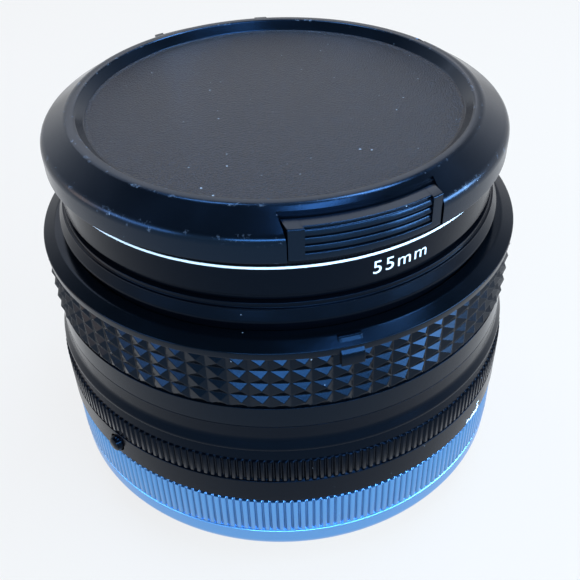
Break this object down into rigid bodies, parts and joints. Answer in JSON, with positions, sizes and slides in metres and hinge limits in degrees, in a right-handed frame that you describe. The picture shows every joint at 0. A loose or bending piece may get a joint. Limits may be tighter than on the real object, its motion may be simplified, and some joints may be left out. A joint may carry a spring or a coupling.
{
  "type": "prime camera lens",
  "caption": "Standard manual-focus SLR lens with a breech-lock ring, knurled focus ring and ribbed aperture ring, fitted with a screw-in filter and a clip-on front cap.",
  "frame": {"origin": "middle of the rear tube's end face, the lowest point when the lens stands on its mount", "axes": "+Z along the optical axis towards the subject; -Y is the side that faces the viewer, with the cap's near release tab to its right"},
  "size_m": [0.0654, 0.0654, 0.0556],
  "materials": {
    "black_anodised": "satin black anodised aluminium, dust and worn edges",
    "black_moulded": "satin black moulded plastic with a fine sparkle in the recessed disc",
    "inner_black": "matt black anti-reflection paint",
    "satin_chrome": "satin chrome on brass, finely ribbed",
    "steel": "plain bright steel",
    "iris_steel": "blued spring steel leaf",
    "brass": "machined brass",
    "aluminium": "machined aluminium",
    "lens_glass": "polished optical glass with a thin anti-reflection coating"
  },
  "bodies": {
    "main_body": {"main_barrel": "black_anodised", "mount_flange": "satin_chrome", "rear_tube": "inner_black", "rear_plate": "inner_black", "depth_scale_ring": "black_anodised", "focus_stop_pin": "steel", "guide_key_1": "brass", "guide_key_2": "brass", "plate_screw_1": "steel", "plate_screw_2": "steel", "plate_screw_3": "steel", "mount_screw_1": "steel", "mount_screw_2": "steel", "mount_screw_3": "steel", "mount_screw_4": "steel", "speed_pin": "steel", "switch_pin": "steel"},
    "breech": {"breech_ring": "satin_chrome"},
    "aperture": {"aperture_ring": "black_anodised", "aperture_key": "brass"},
    "button": {"lock_button": "black_anodised"},
    "signal": {"signal_lever": "steel"},
    "auto": {"auto_lever": "steel"},
    "focus": {"focus_ring": "black_moulded", "helicoid_ring": "brass"},
    "lens_block": {"lens_tube": "aluminium", "front_nose": "black_anodised", "name_ring": "black_anodised", "front_cell": "inner_black", "rear_cell": "inner_black", "rear_retainer": "inner_black", "iris_housing": "inner_black", "lens_1": "lens_glass", "lens_2": "lens_glass", "lens_3": "lens_glass", "lens_4": "lens_glass", "lens_5": "lens_glass", "lens_6": "lens_glass"},
    "iris": {"iris_ring": "brass"},
    "blade_1": {"iris_blade_1": "iris_steel"},
    "blade_2": {"iris_blade_2": "iris_steel"},
    "blade_3": {"iris_blade_3": "iris_steel"},
    "blade_4": {"iris_blade_4": "iris_steel"},
    "blade_5": {"iris_blade_5": "iris_steel"},
    "filter": {"filter_frame": "black_anodised", "filter_glass": "lens_glass", "filter_retainer": "black_anodised"},
    "cap": {"cap_shell": "black_moulded"},
    "tab_front": {"cap_tab_front": "black_moulded"},
    "tab_back": {"cap_tab_back": "black_moulded"}
  },
  "joints": [
    {"name": "breech_turn", "type": "hinge", "parent": "main_body", "child": "breech", "pos_m": [0, 0, 0.009], "axis": [0, 0, 1], "range_deg": [0, 60]},
    {"name": "aperture_turn", "type": "hinge", "parent": "main_body", "child": "aperture", "pos_m": [0, 0, 0.018], "axis": [0, 0, 1], "range_deg": [0, 66]},
    {"name": "lock_press", "type": "slide", "parent": "aperture", "child": "button", "axis": [0.7071, 0.7071, 0], "range_m": [0, 0.0009], "stiffness_N_per_m": 600, "springref_m": -0.0006},
    {"name": "signal_turn", "type": "hinge", "parent": "main_body", "child": "signal", "pos_m": [0, 0, 0.009], "axis": [0, 0, 1], "range_deg": [0, 66]},
    {"name": "auto_turn", "type": "hinge", "parent": "main_body", "child": "auto", "pos_m": [0, 0, 0.009], "axis": [0, 0, 1], "range_deg": [0, 25], "stiffness_Nm_per_rad": 0.003, "springref_deg": -17.19},
    {"name": "focus_turn", "type": "hinge", "parent": "main_body", "child": "focus", "pos_m": [0, 0, 0.033], "axis": [0, 0, 1], "range_deg": [0, 140]},
    {"name": "focus_travel", "type": "slide", "parent": "main_body", "child": "lens_block", "axis": [0, 0, 1], "range_m": [0, 0.0054]},
    {"name": "iris_turn", "type": "hinge", "parent": "lens_block", "child": "iris", "pos_m": [0, 0, 0.024], "axis": [0, 0, 1], "range_deg": [0, 66]},
    {"name": "blade_1_swing", "type": "hinge", "parent": "lens_block", "child": "blade_1", "pos_m": [0.0154, 0, 0.0222], "axis": [0, 0, 1], "range_deg": [0, 36.5]},
    {"name": "blade_2_swing", "type": "hinge", "parent": "lens_block", "child": "blade_2", "pos_m": [0.00476, 0.01465, 0.0222], "axis": [0, 0, 1], "range_deg": [0, 36.5]},
    {"name": "blade_3_swing", "type": "hinge", "parent": "lens_block", "child": "blade_3", "pos_m": [-0.01246, 0.00905, 0.0222], "axis": [0, 0, 1], "range_deg": [0, 36.5]},
    {"name": "blade_4_swing", "type": "hinge", "parent": "lens_block", "child": "blade_4", "pos_m": [-0.01246, -0.00905, 0.0222], "axis": [0, 0, 1], "range_deg": [0, 36.5]},
    {"name": "blade_5_swing", "type": "hinge", "parent": "lens_block", "child": "blade_5", "pos_m": [0.00476, -0.01465, 0.0222], "axis": [0, 0, 1], "range_deg": [0, 36.5]},
    {"name": "filter_off", "type": "slide", "parent": "lens_block", "child": "filter", "axis": [0, 0, 1], "range_m": [0, 0.02]},
    {"name": "cap_off", "type": "slide", "parent": "filter", "child": "cap", "axis": [0, 0, 1], "range_m": [0, 0.02]},
    {"name": "tab_front_press", "type": "slide", "parent": "cap", "child": "tab_front", "axis": [-0.3256, 0.9455, 0], "range_m": [0, 0.0018], "stiffness_N_per_m": 700, "springref_m": -0.0008},
    {"name": "tab_back_press", "type": "slide", "parent": "cap", "child": "tab_back", "axis": [0.3256, -0.9455, 0], "range_m": [0, 0.0018], "stiffness_N_per_m": 700, "springref_m": -0.0008}
  ],
  "couplings": [
    {"joint": "focus_travel", "follows": "focus_turn", "m_per_rad": 0.00221},
    {"joint": "iris_turn", "follows": "aperture_turn", "ratio": 1},
    {"joint": "signal_turn", "follows": "aperture_turn", "ratio": 1},
    {"joint": "blade_1_swing", "follows": "aperture_turn", "ratio": 0.55},
    {"joint": "blade_2_swing", "follows": "aperture_turn", "ratio": 0.55},
    {"joint": "blade_3_swing", "follows": "aperture_turn", "ratio": 0.55},
    {"joint": "blade_4_swing", "follows": "aperture_turn", "ratio": 0.55},
    {"joint": "blade_5_swing", "follows": "aperture_turn", "ratio": 0.55}
  ]
}
